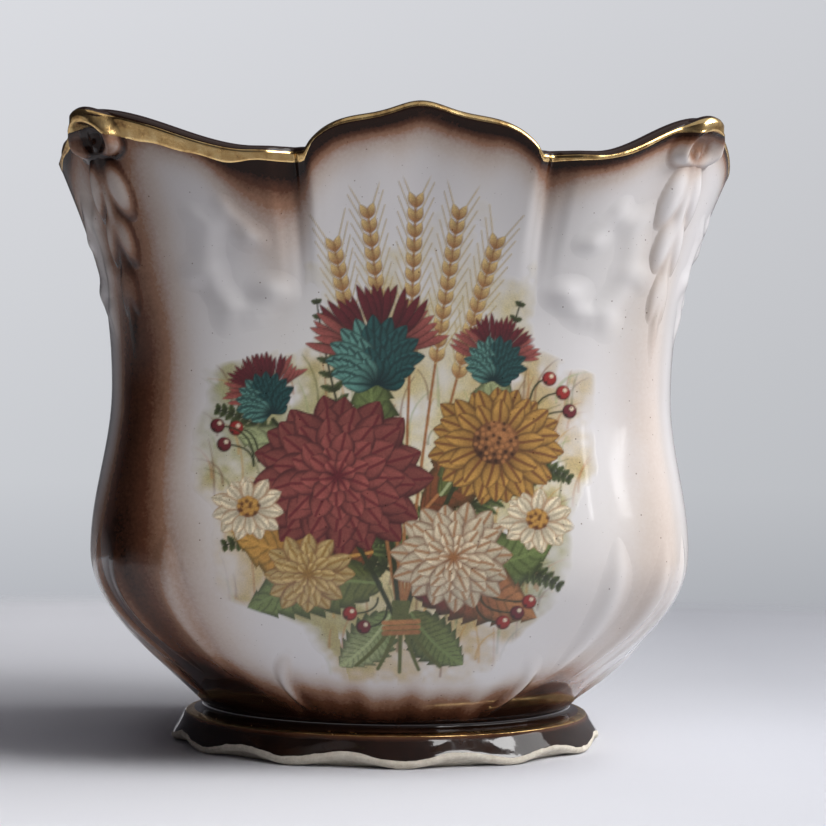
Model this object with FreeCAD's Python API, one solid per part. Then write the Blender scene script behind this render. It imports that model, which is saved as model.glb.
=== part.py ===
"""Four-sided glazed earthenware jardiniere with a scalloped gilt rim, relief ornament and a scalloped foot.

Millimetres, +Z up, origin on the axis in the plane that the foot stands on. The front faces -Y.
Angles are in degrees round the axis from the front, towards +X. The four sides are alike.
"""
import FreeCAD, Part
import math
import os
from FreeCAD import Vector

# Body: heights above the standing plane, and half widths from the axis to the middle of a side
pot_height = 168.0
waist_height = 97.0
belly_height = 55.0
neck_height = 10.5
rim_half = 89.0
waist_half = 75.0
belly_half = 80.0
neck_half = 51.0
wall = 5.0
floor_thickness = 6.0
floor_cove = 9.0
squareness = 4.2
roundness = 2.0

# Rim: lip section, steps down from the lobe to the ears and dips, and the flutes beside the lobe
lip_thickness = 5.5
lip_crown = 1.6
lip_shares = ((0.1, 0.8), (0.5, 1.3), (0.9, 0.8), (1.0, -0.6))  # of the thickness, of the crown
rim_band = 5.0
ear_step = 2.0
dip_step = 11.5
crown_drop = 3.4
crown_share = 0.3
shoulder_power = 5
lobe_angle = 18.5
lobe_skew_angle = 3.75
arm_angle = 26.0
flute_depth = 3.4
flute_angle = 2.2
flute_height = 52.0
ridge_depth = 2.2
ridge_angle = 5.0

# Foot: sloping skirt with twelve arches, on a flat seat ring
foot_half = 60.0
foot_edge_half = 56.0
foot_edge_height = 8.2
skirt_height = 2.6
arch_count = 12
arch_lift = 2.0
arch_depth = 0.9
seat_outer_half = 54.0
seat_inner_half = 47.0
recess_half = 45.0

# Relief: leaf and ear at each corner, scrolls beside each lobe, ribs and beads on the bowl
leaf_half = 9.0
leaf_relief = 2.4
leaf_length = 54.0
leaf_drop = 6.5
leaf_lobes = 3
ear_half = 5.5
ear_relief = 4.2
ear_length = 15.0
ear_drop = 1.5
scroll_angle = 30.5
scroll_drop = 33.0
scroll_width = 9.5
scroll_length = 20.0
scroll_half = 3.0
scroll_relief = 1.3
scroll_turn_angle = 290.0
rib_step_angle = 8.0
rib_low = 22.0
rib_high = 62.0
rib_half = 4.2
rib_relief = 1.2
bead_angle = 24.0
bead_swell_angle = 4.0
bead_low = 12.5
bead_high = 31.0
bead_relief = 1.3

# Decoration laid on the glaze
gilding = 0.2
transfer_film = 0.3
transfer_narrow_angle = 22.0
transfer_bowl_angle = 31.0
transfer_waist_angle = 36.0
transfer_shares = (0.085, 0.17, 0.35, 0.61, 0.89)  # of the rows up the wall, at the patches' edges

# Counts of control points, and of sections in a relief piece, with the size left at its tips
ring_count = 240
body_rows = 18
inner_rows = 12
section_count = 12
tip_share = 0.08
degree = 3
start_angle = 90.0

# Steps for measuring the slope of the wall
probe_angle = 0.2
probe_rise = 0.2

side_angle = 90.0
full_turn = 360.0
corner_angle = side_angle / 2
step_angle = full_turn / ring_count
sides = ("front", "right", "back", "left")
corners = ("front_right", "back_right", "back_left", "front_left")


def smooth(share):
    """Ease from 0 to 1."""
    share = min(max(share, 0.0), 1.0)
    return share * share * (3 - 2 * share)


def bell(share):
    """A bump of height 1 at 0."""
    return math.exp(-share * share)


def place(angle, radius, height):
    turn = math.radians(angle)
    return Vector(radius * math.sin(turn), -radius * math.cos(turn), height)


def from_middle(angle):
    """Angle from the middle of the nearest side."""
    return (angle + corner_angle) % side_angle - corner_angle


def half_width(level):
    """Half width of a side on the outside of the wall: bowl, belly, waist and flared rim."""
    if level < belly_height:
        share = (level - neck_height) / (belly_height - neck_height)
        return neck_half + (belly_half - neck_half) * math.sin(share * math.pi / 2)
    if level < waist_height:
        share = (level - belly_height) / (waist_height - belly_height)
        return waist_half + (belly_half - waist_half) * (1 + math.cos(share * math.pi)) / 2
    share = (level - waist_height) / (pot_height - waist_height)
    return waist_half + (rim_half - waist_half) * (1 - math.cos(share * math.pi / 2))


def bowl_rise(level):
    """Ease from 0 at the neck to 1 at the belly."""
    return smooth((level - neck_height) / (belly_height - neck_height))


def plan_share(angle, level):
    """Distance from the axis as a share of the half width: round at the neck, square from the belly up."""
    power = roundness + (squareness - roundness) * bowl_rise(level)
    turn = math.radians(from_middle(angle))
    return (abs(math.cos(turn)) ** power + abs(math.sin(turn)) ** power) ** (-1 / power)


def modelling(angle, level):
    """Relief that belongs to the wall itself: the ridge down each corner and the flutes beside each lobe."""
    middle = from_middle(angle)
    ridge = ridge_depth * bowl_rise(level) * bell((corner_angle - abs(middle)) / ridge_angle)
    beside = abs(middle - lobe_skew_angle) - lobe_angle - flute_angle
    fade = smooth((level - pot_height + flute_height) / flute_height)
    return ridge - flute_depth * fade * bell(beside / flute_angle)


def outside(angle, level):
    return half_width(level) * plan_share(angle, level) + modelling(angle, level)


def rim_level(angle):
    """Height of the rim: a lobe with a crown and two shoulders on each side, dips and a rise to each corner."""
    middle = from_middle(angle)
    off_lobe = middle - lobe_skew_angle
    share = abs(off_lobe) / lobe_angle
    if share < 1:
        crown = crown_drop * (1 - bell(share / crown_share))
        return pot_height - crown - (dip_step - crown_drop) * share ** shoulder_power
    reach = corner_angle - math.copysign(lobe_skew_angle, off_lobe) - arm_angle
    rise = smooth((abs(off_lobe) - arm_angle) / reach)
    return pot_height - dip_step + (dip_step - ear_step) * rise


def lifted(angle, level):
    """Height of a wall point: the flare follows the rim, and below it the wall is level."""
    base = pot_height - flute_height
    if level < base:
        return level
    return base + (level - base) * (rim_level(angle) - lip_crown - base) / flute_height


def wall_point(angle, level):
    return place(angle, outside(angle, level), lifted(angle, level))


def outward(angle, level):
    """Direction square to the wall."""
    sideways = wall_point(angle + probe_angle, level) - wall_point(angle - probe_angle, level)
    upward = wall_point(angle, level + probe_rise) - wall_point(angle, level - probe_rise)
    return sideways.cross(upward).normalize()


def ring(radius_at, height_at):
    """Control points round the axis, from one step before the start, where a cubic's first span begins."""
    angles = [start_angle + step_angle * (index - 1) for index in range(ring_count)]
    return [place(angle, radius_at(angle), height_at(angle)) for angle in angles]


def skin(rings):
    """Smooth surface over rings of control points, closed round the axis."""
    poles = [[row[index] for row in rings] for index in range(ring_count)]
    spans = len(rings) - degree
    surface = Part.BSplineSurface()
    surface.buildFromPolesMultsKnots(
        poles,
        [1] * (ring_count + 1),
        [degree + 1] + [1] * (spans - 1) + [degree + 1],
        list(range(ring_count + 1)),
        list(range(spans + 1)),
        True,
        False,
        degree,
        degree,
    )
    return surface


def end_edge(face, surface, last):
    """The edge of a skin on its first or its last ring."""
    knots = surface.getVKnots()
    target = surface.vIso(knots[-1] if last else knots[0]).toShape()
    return min(face.Edges, key=lambda edge: (edge.CenterOfMass - target.CenterOfMass).Length
               + abs(edge.Length - target.Length))


def right_way_out(solid):
    if solid.Volume < 0:
        solid.reverse()
    return solid


def solid_of(faces):
    shell = Part.makeShell(faces)
    shell.sewShape()
    return right_way_out(Part.makeSolid(shell))


def level_face(*edges):
    """Flat face inside the first edge and outside the others."""
    return Part.makeFace([Part.Wire([edge]) for edge in edges], "Part::FaceMakerBullseye")


def body_rings():
    """Rings up the outside, over the lip and down the inside to the floor."""
    top = pot_height - rim_band
    levels = [neck_height + (top - neck_height) * index / (body_rows - 1) for index in range(body_rows)]
    levels += [top + rim_band / 2, pot_height]
    rings = []
    for level in levels:
        rings.append(ring(lambda angle: outside(angle, level), lambda angle: lifted(angle, level)))
    for depth_share, rise_share in lip_shares:
        rings.append(ring(lambda angle: outside(angle, pot_height) - lip_thickness * depth_share,
                          lambda angle: rim_level(angle) - lip_crown + lip_crown * rise_share))
    floor = neck_height + floor_thickness
    bottom = floor + floor_cove
    for index in range(inner_rows):
        level = top + (bottom - top) * index / (inner_rows - 1)
        rings.append(ring(lambda angle: outside(angle, level) - wall, lambda angle: lifted(angle, level)))
    edge = half_width(bottom) - wall
    rings.append(ring(lambda angle: edge - floor_cove / 3, lambda angle: floor + floor_cove / 3))
    rings.append(ring(lambda angle: edge - floor_cove, lambda angle: floor))
    rings.append(ring(lambda angle: edge - floor_cove - wall, lambda angle: floor))
    return rings


def make_body(surface):
    face = surface.toShape()
    underside = level_face(end_edge(face, surface, False))
    floor = level_face(end_edge(face, surface, True))
    return solid_of([face, underside, floor])


def arch(angle):
    """0 on the pads of the foot, 1 at the crown of an arch."""
    return (1 - math.cos(math.radians(arch_count * (angle - lobe_skew_angle)))) / 2


def foot_rings():
    """Rings down the outside of the foot: cove, gilt edge, sloping skirt and arched lower edge."""
    cove = neck_height - foot_edge_height
    slope = foot_half - foot_edge_half

    def plain(radius, height):
        return ring(lambda angle: radius, lambda angle: height)

    def arched(inset, height):
        return ring(lambda angle: foot_half - inset - arch_depth * arch(angle),
                    lambda angle: height + arch_lift * arch(angle))

    return [
        plain(neck_half, neck_height),
        plain(neck_half, neck_height - cove / 2),
        plain(foot_edge_half - slope / 2, foot_edge_height + cove / 4),
        plain(foot_edge_half, foot_edge_height),
        plain(foot_edge_half + slope / 6, foot_edge_height - cove / 2),
        arched(slope / 2, (foot_edge_height + skirt_height) / 2 - arch_lift / 2),
        arched(slope / 6, skirt_height),
        arched(0, skirt_height / 2),
        arched(slope / 6, skirt_height / 12),
        arched(slope / 2, 0),
        plain(seat_outer_half + slope / 6, 0),
        plain(seat_outer_half, 0),
    ]


def make_foot(surface):
    face = surface.toShape()
    lean = seat_inner_half - recess_half
    recess = skin([ring(lambda angle: seat_inner_half - lean * share / degree,
                        lambda angle: neck_height * share / degree) for share in range(degree + 1)])
    inner = recess.toShape()
    seat = level_face(end_edge(face, surface, True), end_edge(inner, recess, False))
    joint = level_face(end_edge(face, surface, False), end_edge(inner, recess, True))
    return solid_of([face, seat, inner, joint])


def thickened(patch, thickness):
    """Solid film of the given thickness on a patch of a skin, lying on it face to face."""
    film = patch.copy()
    u_low, u_high, v_low, v_high = patch.bounds()
    u_count = patch.NbUPoles
    v_count = patch.NbVPoles
    for u_index in range(1, u_count + 1):
        for v_index in range(1, v_count + 1):
            u_next = u_index % u_count + 1 if patch.isUPeriodic() else min(u_index + 1, u_count)
            u_last = (u_index - 2) % u_count + 1 if patch.isUPeriodic() else max(u_index - 1, 1)
            across = patch.getPole(u_next, v_index) - patch.getPole(u_last, v_index)
            along = (patch.getPole(u_index, min(v_index + 1, v_count))
                     - patch.getPole(u_index, max(v_index - 1, 1)))
            out = across.cross(along).normalize()
            film.setPole(u_index, v_index, patch.getPole(u_index, v_index) + out * thickness)
    faces = [patch.toShape(), film.toShape()]
    edges = [(patch.vIso(end), film.vIso(end)) for end in (v_low, v_high)]
    if not patch.isUPeriodic():
        edges += [(patch.uIso(end), film.uIso(end)) for end in (u_low, u_high)]
    for under, over in edges:
        faces.append(Part.makeRuledSurface(under.toShape(), over.toShape()))
    return solid_of(faces)


def make_gilding(surface, low_row, high_row, thickness):
    """Gold line all round a skin, between two rows of its control points."""
    band = surface.copy()
    around_low, around_high = surface.bounds()[:2]
    band.segment(around_low, around_high, low_row - 1, high_row - 1)
    band.setUPeriodic()
    return thickened(band, thickness)


def stretch(surface, middle, half_angle, low_row, high_row):
    """The part of a skin between two angles and two rows of its control points."""
    patch = surface.copy()
    low = (middle - half_angle - start_angle) % full_turn / step_angle
    patch.segment(low, low + 2 * half_angle / step_angle, low_row - 1, high_row - 1)
    return patch


def make_bed(surface, middle, half_angle, low_row, high_row):
    """The wall under a relief piece: a block with the wall's own outer face."""
    return thickened(stretch(surface, middle, half_angle, low_row, high_row), -wall)


def raised(path, half_sizes):
    """Solid bead along wall points, given as (angle, level), with oval sections square to the path."""
    wires = []
    for index, (angle, level) in enumerate(path):
        here = wall_point(angle, level)
        out = outward(angle, level)
        ahead = wall_point(*path[min(index + 1, len(path) - 1)])
        behind = wall_point(*path[max(index - 1, 0)])
        forward = (ahead - behind).normalize()
        across = out.cross(forward).normalize()
        half, relief = half_sizes[index]
        turns = [2 * math.pi * step / section_count for step in range(section_count)]
        oval = Part.BSplineCurve()
        oval.interpolate([here + across * half * math.cos(turn) + out * relief * math.sin(turn)
                          for turn in turns], PeriodicFlag=True)
        wires.append(Part.Wire([oval.toShape()]))
    return right_way_out(Part.makeLoft(wires, True, False))


def leaf():
    """Leaf down a corner ridge, three-lobed on both sides, widest under the ear."""
    top = pot_height - leaf_drop
    path = []
    half_sizes = []
    for index in range(section_count):
        share = index / (section_count - 1)
        taper = 1 - share * share
        lobes = 1 - math.cos(2 * math.pi * leaf_lobes * share) / (leaf_lobes + 1)
        path.append((corner_angle, top - leaf_length * share))
        half_sizes.append((leaf_half * (taper * lobes + tip_share),
                           leaf_relief * (taper + tip_share)))
    return raised(path, half_sizes)


def ear():
    """Curled leaf tip on the rim at a corner."""
    path = []
    half_sizes = []
    for index in range(section_count):
        share = index / (section_count - 1)
        swell = math.sqrt(math.sin(math.pi * share)) + tip_share
        path.append((corner_angle, pot_height - ear_drop - ear_length * share))
        half_sizes.append((ear_half * swell, ear_relief * swell))
    return raised(path, half_sizes)


def scroll(hand):
    """C-shaped scroll on the flare beside a lobe; hand is 1 to the right of it and -1 to the left."""
    path = []
    half_sizes = []
    middle = lobe_skew_angle + hand * scroll_angle
    middle_level = pot_height - scroll_drop
    for index in range(section_count):
        share = index / (section_count - 1)
        turn = math.radians(scroll_turn_angle * (share - 1 / 2))
        reach = 1 - share / 2
        run = math.degrees(scroll_width * reach * math.cos(turn) / outside(middle, middle_level))
        path.append((middle + hand * run, middle_level + scroll_length * reach * math.sin(turn)))
        half_sizes.append((scroll_half * reach, scroll_relief * reach))
    return raised(path, half_sizes)


def rib(step):
    """One upright rib of the three on the bowl under a corner."""
    path = []
    half_sizes = []
    for index in range(section_count):
        share = index / (section_count - 1)
        swell = math.sin(math.pi * share) + tip_share
        path.append((corner_angle + step * rib_step_angle, rib_low + (rib_high - rib_low) * share))
        half_sizes.append((rib_half * swell, rib_relief * swell))
    return raised(path, half_sizes)


def bead(hand):
    """Curved bead beside the middle of a side, at the bottom of the bowl."""
    path = []
    half_sizes = []
    for index in range(section_count):
        share = index / (section_count - 1)
        swell = math.sin(math.pi * share)
        path.append((lobe_skew_angle + hand * (bead_angle + bead_swell_angle * swell),
                     bead_low + (bead_high - bead_low) * share))
        relief = bead_relief * (swell + tip_share)
        half_sizes.append((relief, relief))
    return raised(path, half_sizes)


def around(shape, index):
    """Copy of a piece turned to another side or corner."""
    copy = shape.copy()
    copy.rotate(Vector(0, 0, 0), Vector(0, 0, 1), side_angle * index)
    return copy


def build():
    body_skin = skin(body_rings())
    foot_skin = skin(foot_rings())
    rim_row = body_rows + 1
    corner = make_bed(body_skin, corner_angle, corner_angle / 2, body_rows // 2, rim_row)
    bowl_corner = make_bed(body_skin, corner_angle, corner_angle / 2, 1, body_rows // 2)
    flare = make_bed(body_skin, 0, corner_angle, body_rows // 2, rim_row)
    bowl = make_bed(body_skin, 0, corner_angle, 1, body_rows // 2)
    rim_gilding = make_gilding(body_skin, rim_row - 1, rim_row + 2, gilding)
    corner_ear = ear().cut([corner, rim_gilding])
    low_row, bowl_row, waist_row, shoulder_row, top_row = [body_rows * share for share in transfer_shares]
    patches = [
        stretch(body_skin, lobe_skew_angle, transfer_narrow_angle, low_row, bowl_row),
        stretch(body_skin, 0, transfer_bowl_angle, bowl_row, waist_row),
        stretch(body_skin, 0, transfer_waist_angle, waist_row, shoulder_row),
        stretch(body_skin, lobe_skew_angle, transfer_narrow_angle, shoulder_row, top_row),
    ]
    transfer = Part.makeCompound([thickened(patch, transfer_film) for patch in patches])
    pieces = {
        "pot_body": make_body(body_skin),
        "foot_ring": make_foot(foot_skin),
        "rim_gilding": rim_gilding,
        "foot_gilding": make_gilding(foot_skin, 2, 3, -gilding),  # the foot's rings run downwards
        "transfer_front": transfer,
        "transfer_back": around(transfer, sides.index("back")),
    }
    at_corners = {
        "corner_leaf": leaf().cut([corner, corner_ear]),
        "corner_ear": corner_ear,
        "bowl_ribs": Part.makeCompound([rib(step).cut(bowl_corner) for step in (-1, 0, 1)]),
    }
    on_sides = {
        "scroll_left": scroll(-1).cut(flare),
        "scroll_right": scroll(1).cut(flare),
        "bowl_beads": Part.makeCompound([bead(hand).cut(bowl) for hand in (-1, 1)]),
    }
    for name, shape in at_corners.items():
        for index, corner_name in enumerate(corners):
            pieces[f"{name}_{corner_name}"] = around(shape, index)
    for name, shape in on_sides.items():
        for index, side in enumerate(sides):
            pieces[f"{name}_{side}"] = around(shape, index)
    return pieces


os.makedirs("parts", exist_ok=True)
for node, shape in build().items():
    shape.exportStep(f"parts/{node}.step")
    print(node, len(shape.Solids), round(shape.Volume, 1), shape.isValid())
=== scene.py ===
"""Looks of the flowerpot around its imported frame: glazed wall, relief, gilding, printed posies, studio.

Shapes are worked out in millimetres with the wall's own formulas and written to the meshes in metres.
Angles are in degrees round the axis from the front, -Y, towards +X.
"""
import math

import bpy
import numpy as np
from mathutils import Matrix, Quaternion, Vector


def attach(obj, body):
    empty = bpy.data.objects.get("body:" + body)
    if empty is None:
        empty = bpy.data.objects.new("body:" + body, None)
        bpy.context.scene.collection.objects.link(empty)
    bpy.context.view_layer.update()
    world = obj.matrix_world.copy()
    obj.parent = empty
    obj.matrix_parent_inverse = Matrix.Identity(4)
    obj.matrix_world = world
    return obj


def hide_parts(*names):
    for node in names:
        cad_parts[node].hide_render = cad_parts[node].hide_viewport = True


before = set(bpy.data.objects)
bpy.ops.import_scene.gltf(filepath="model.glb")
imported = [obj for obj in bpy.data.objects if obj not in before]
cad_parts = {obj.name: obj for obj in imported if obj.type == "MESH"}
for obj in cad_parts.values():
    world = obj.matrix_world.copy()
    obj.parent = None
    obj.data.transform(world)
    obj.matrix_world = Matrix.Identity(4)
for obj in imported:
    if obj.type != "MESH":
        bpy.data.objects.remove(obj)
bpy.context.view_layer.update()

MM = 0.001

# Wall, as in the solids
POT_HEIGHT, EAR_STEP, DIP_STEP = 168.0, 2.0, 11.5
WAIST_HEIGHT, BELLY_HEIGHT, NECK_HEIGHT = 97.0, 55.0, 10.5
RIM_HALF, WAIST_HALF, BELLY_HALF, NECK_HALF = 89.0, 75.0, 80.0, 51.0
WALL, FLOOR_THICKNESS, FLOOR_COVE = 5.0, 6.0, 9.0
SQUARENESS, ROUNDNESS = 4.2, 2.0
LIP_THICKNESS, LIP_CROWN, LIP_RISE, LIP_RUN = 5.5, 1.6, 2.0, 8.6
CROWN_DROP, CROWN_SHARE, SHOULDER_POWER = 3.4, 0.3, 5
LOBE_ANGLE, LOBE_SKEW, ARM_ANGLE = 18.5, 3.75, 26.0
FLUTE_DEPTH, FLUTE_ANGLE, FLUTE_HEIGHT = 3.4, 2.2, 52.0
REED_SHARE, REED_ANGLE, REED_SPREAD = 0.07, 2.1, 1.5
RIDGE_DEPTH, RIDGE_ANGLE = 2.2, 5.0
CORNER = 45.0
SIDES = ("front", "right", "back", "left")
CORNERS = ("front_right", "back_right", "back_left", "front_left")

# Foot, as in the solids
FOOT_HALF, FOOT_EDGE_HALF, FOOT_EDGE_HEIGHT, SKIRT_HEIGHT = 60.0, 56.0, 8.2, 2.6
ARCH_COUNT, ARCH_LIFT, ARCH_DEPTH = 12, 2.0, 0.9
SEAT_OUTER, SEAT_INNER, SEAT_EDGE, SEAT_ROUND, RECESS = 54.0, 47.0, 0.6, 0.8, 45.0

# Irregular wave round the pot: counts and sizes
WAVES = ((3, 0.5), (7, 0.35), (13, 0.3), (29, 0.22), (53, 0.16))

# Brown from spraying and painted shade (the hollows under the ears, the left side away from the light):
# strengths, angles in degrees, levels and reaches in millimetres
SPRAY_SHADE_LEAST, BROWN_SHADE_MOST, SPRAY_SHADE_TURN, SPRAY_SHADE_SHIFT, SPRAY_SHADE_SPAN = 0.15, 1.1, 75.0, 0.2, 1.1
LOBE_MARGIN, LOBE_BLEND = 1.0, 3.0
EDGE_DARK, EDGE_FADE, EDGE_UNEVEN, FADE_STRENGTH, FADE_POWER = 3.6, 9.0, 0.22, 0.5, 1.5
ARM_REACH, ARM_SPRAY, LOBE_REACH, LOBE_SPRAY, NOTCH_SPRAY = 0.40, 0.16, 0.36, 0.10, 2.1
NOTCH_OFF, NOTCH_ANGLE = 5.0, 7.0
GROOVE_STRENGTH, GROOVE_FADE = 0.6, 10.0
SPINE_ANGLE, SPINE_STRENGTH, SPINE_SWELL = 6.2, 0.40, 0.30
SPINE_LEVEL, SPINE_HALF, SPINE_LOW, SPINE_RISE = 92.0, 36.0, 12.0, 40.0
HOLLOW_SHADE, HOLLOW_ANGLE, HOLLOW_LEVEL, HOLLOW_HALF = 1.3, 2.6, 160.0, 5.5
BELLY_STRENGTH, BELLY_ANGLE, BELLY_TOP, BELLY_FADE = 0.40, 12.0, 85.0, 40.0
LOW_STRENGTH, LOW_TOP, LOW_WAVE, LOW_FADE, LOW_POWER = 1.1, 26.5, 3.0, 20.0, 1.7
LOW_CORNER, LOW_CORNER_ANGLE, LOW_CORNER_SHARE = 11.0, 17.0, 0.55
INSIDE_DARK, INSIDE_REACH, INSIDE_PALE, INSIDE_FADE, UNDER_SHADE = 0.9, 4.0, 0.3, 9.0, 0.7


def smooth(share):
    share = np.clip(share, 0.0, 1.0)
    return share * share * (3 - 2 * share)


def bell(share):
    return np.exp(-share * share)


def from_middle(angle):
    return (angle + CORNER) % (2 * CORNER) - CORNER


def half_width(level):
    bowl = (level - NECK_HEIGHT) / (BELLY_HEIGHT - NECK_HEIGHT)
    bowl = NECK_HALF + (BELLY_HALF - NECK_HALF) * np.sin(np.clip(bowl, 0, 1) * np.pi / 2)
    waist = (level - BELLY_HEIGHT) / (WAIST_HEIGHT - BELLY_HEIGHT)
    waist = WAIST_HALF + (BELLY_HALF - WAIST_HALF) * (1 + np.cos(np.clip(waist, 0, 1) * np.pi)) / 2
    flare = (level - WAIST_HEIGHT) / (POT_HEIGHT - WAIST_HEIGHT)
    flare = WAIST_HALF + (RIM_HALF - WAIST_HALF) * (1 - np.cos(np.clip(flare, 0, 1) * np.pi / 2))
    return np.where(level < BELLY_HEIGHT, bowl, np.where(level < WAIST_HEIGHT, waist, flare))


def bowl_rise(level):
    return smooth((level - NECK_HEIGHT) / (BELLY_HEIGHT - NECK_HEIGHT))


def plan_share(angle, level):
    power = ROUNDNESS + (SQUARENESS - ROUNDNESS) * bowl_rise(level)
    turn = np.radians(from_middle(angle))
    return (np.abs(np.cos(turn)) ** power + np.abs(np.sin(turn)) ** power) ** (-1 / power)


def past_lobe(angle):
    """Degrees past the edge of the lobe of a side; less than zero on the lobe."""
    return np.abs(from_middle(angle) - LOBE_SKEW) - LOBE_ANGLE


def flute(angle, level):
    """1 in the groove of a flute, beside a lobe, with fine reeds in it."""
    beside = past_lobe(angle) - FLUTE_ANGLE
    reeds = REED_SHARE * np.cos(2 * np.pi * beside / REED_ANGLE) * bell(beside / (REED_SPREAD * FLUTE_ANGLE))
    return smooth((level - POT_HEIGHT + FLUTE_HEIGHT) / FLUTE_HEIGHT) * (bell(beside / FLUTE_ANGLE) + reeds)


def from_corner(angle):
    return CORNER - np.abs(from_middle(angle))


def ridge(angle):
    return bell(from_corner(angle) / RIDGE_ANGLE)


def outside(angle, level):
    relief = RIDGE_DEPTH * bowl_rise(level) * ridge(angle) - FLUTE_DEPTH * flute(angle, level)
    return half_width(level) * plan_share(angle, level) + relief


def rim_level(angle):
    off_lobe = from_middle(angle) - LOBE_SKEW
    share = np.abs(off_lobe) / LOBE_ANGLE
    inside = np.clip(share, 0, 1)
    crown = CROWN_DROP * (1 - bell(inside / CROWN_SHARE))
    lobe = POT_HEIGHT - crown - (DIP_STEP - CROWN_DROP) * inside ** SHOULDER_POWER
    reach = CORNER - np.copysign(LOBE_SKEW, off_lobe) - ARM_ANGLE
    rise = smooth((np.abs(off_lobe) - ARM_ANGLE) / reach)
    arm = POT_HEIGHT - DIP_STEP + (DIP_STEP - EAR_STEP) * rise
    return np.where(share < 1, lobe, arm)


def lifted(angle, level):
    """Height of a level of the wall: above the flutes' feet the wall stretches up to the rim."""
    base = POT_HEIGHT - FLUTE_HEIGHT
    up = base + (level - base) * (rim_level(angle) - LIP_CROWN - base) / FLUTE_HEIGHT
    return np.where(level < base, level, up)


def place(angle, radius, height):
    turn = np.radians(angle)
    return np.stack([radius * np.sin(turn), -radius * np.cos(turn), height + 0 * turn], axis=-1)


def shell(angle, run):
    """Point on the outside of the wall. Up to the rim run is the level; past it, the way over the lip."""
    level = np.minimum(run, POT_HEIGHT)
    over = np.clip((run - POT_HEIGHT) / LIP_RUN, 0, 1) * np.pi
    radius = outside(angle, level) - LIP_THICKNESS * (1 - np.cos(over)) / 2
    return place(angle, radius, lifted(angle, level) + LIP_RISE * np.sin(over))


def shell_normal(angle, run, step=0.1):
    sideways = shell(angle + step, run) - shell(angle - step, run)
    upward = shell(angle, run + step) - shell(angle, run - step)
    normal = np.cross(sideways, upward)
    return normal / np.linalg.norm(normal, axis=-1, keepdims=True)


def radius_at(angle, level):
    return float(outside(np.array(angle), np.array(level)))


def wobble(angle, seed):
    """Slow irregular wave round the pot, about -1 to 1."""
    turn = np.radians(angle)
    return sum(size * np.sin(count * turn + seed * (1 + count)) for count, size in WAVES)


def on_lobe(angle):
    """1 on the lobe of a side, 0 on the arms of the rim."""
    return smooth((LOBE_MARGIN - past_lobe(angle)) / LOBE_BLEND)


def spray_and_side_shade(angle):
    """Strength of the brown round the pot, strongest on the front left and weakest on the right: partly
    uneven spraying, partly painted shade on the side away from the light.
    """
    return SPRAY_SHADE_LEAST + smooth((np.cos(np.radians(angle + SPRAY_SHADE_TURN)) + SPRAY_SHADE_SHIFT) / SPRAY_SHADE_SPAN)


def brown(angle, run):
    """How dark the brown is: from spraying under the rim, in the flutes, on the corners and above the foot,
    and painted shade in the hollow under each ear. The strength round the pot, partly painted shade, scales
    the rim band, corners and hollows.
    """
    below = np.maximum(POT_HEIGHT - run, 0.0)
    strength = spray_and_side_shade(angle)
    lobe = on_lobe(angle)
    notch = bell((past_lobe(angle) - NOTCH_OFF) / NOTCH_ANGLE)
    brown_amount = ARM_SPRAY + LOBE_SPRAY * lobe + NOTCH_SPRAY * notch * (1 - lobe)
    reach = (1 + EDGE_UNEVEN * wobble(angle, 1.3)) * (ARM_REACH + LOBE_REACH * lobe + brown_amount * strength)
    edge = bell(below / (EDGE_DARK * reach))
    edge = edge + FADE_STRENGTH * np.exp(-(below / (EDGE_FADE * reach)) ** FADE_POWER)
    groove = np.clip(flute(angle, np.minimum(run, POT_HEIGHT)), 0, BROWN_SHADE_MOST)
    groove = GROOVE_STRENGTH * groove * np.exp(-below / GROOVE_FADE)
    corner = from_corner(angle)
    spine = SPINE_STRENGTH + SPINE_SWELL * bell((run - SPINE_LEVEL) / SPINE_HALF)
    spine = spine * bell(corner / SPINE_ANGLE) * smooth((run - SPINE_LOW) / SPINE_RISE)
    # Painted shade: the hollow under each ear's hood is darkened.
    hollow = HOLLOW_SHADE * bell(np.hypot(corner / HOLLOW_ANGLE, (run - HOLLOW_LEVEL) / HOLLOW_HALF))
    belly = BELLY_STRENGTH * bell(corner / BELLY_ANGLE) * smooth((BELLY_TOP - run) / BELLY_FADE)
    share = LOW_CORNER_SHARE + (1 - LOW_CORNER_SHARE) * strength
    top = LOW_TOP + LOW_WAVE * wobble(angle, 0.4) + LOW_CORNER * bell(corner / LOW_CORNER_ANGLE) * share
    low = LOW_STRENGTH * smooth((top - run) / LOW_FADE) ** LOW_POWER
    return np.clip(edge + groove + (spine + hollow + belly) * strength + low, 0, BROWN_SHADE_MOST)


# Meshes

def make_mesh(name, points, faces, floats=None, colours=None, material=None):
    mesh = bpy.data.meshes.new(name)
    mesh.from_pydata((points * MM).tolist(), [], faces)
    for key, values in (floats or {}).items():
        values = np.asarray(values, "f").ravel()
        mesh.attributes.new(key, "FLOAT", "POINT").data.foreach_set("value", values)
    for key, values in (colours or {}).items():
        values = np.concatenate([values, np.ones((len(values), 1))], axis=1).astype("f").ravel()
        mesh.attributes.new(key, "FLOAT_COLOR", "POINT").data.foreach_set("color", values)
    mesh.polygons.foreach_set("use_smooth", [True] * len(mesh.polygons))
    mesh.materials.append(material)
    mesh.update()
    piece = bpy.data.objects.new(name, mesh)
    bpy.context.scene.collection.objects.link(piece)
    return piece


def grid_faces(columns, rows, closed, keep=None):
    """Quads of a grid whose points run row by row. keep marks the quads to make."""
    count = columns if closed else columns - 1
    faces = []
    for row in range(rows - 1):
        for column in range(count):
            if keep is None or keep[row, column]:
                after = (column + 1) % columns
                faces.append((row * columns + column, row * columns + after,
                              (row + 1) * columns + after, (row + 1) * columns + column))
    return faces


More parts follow.
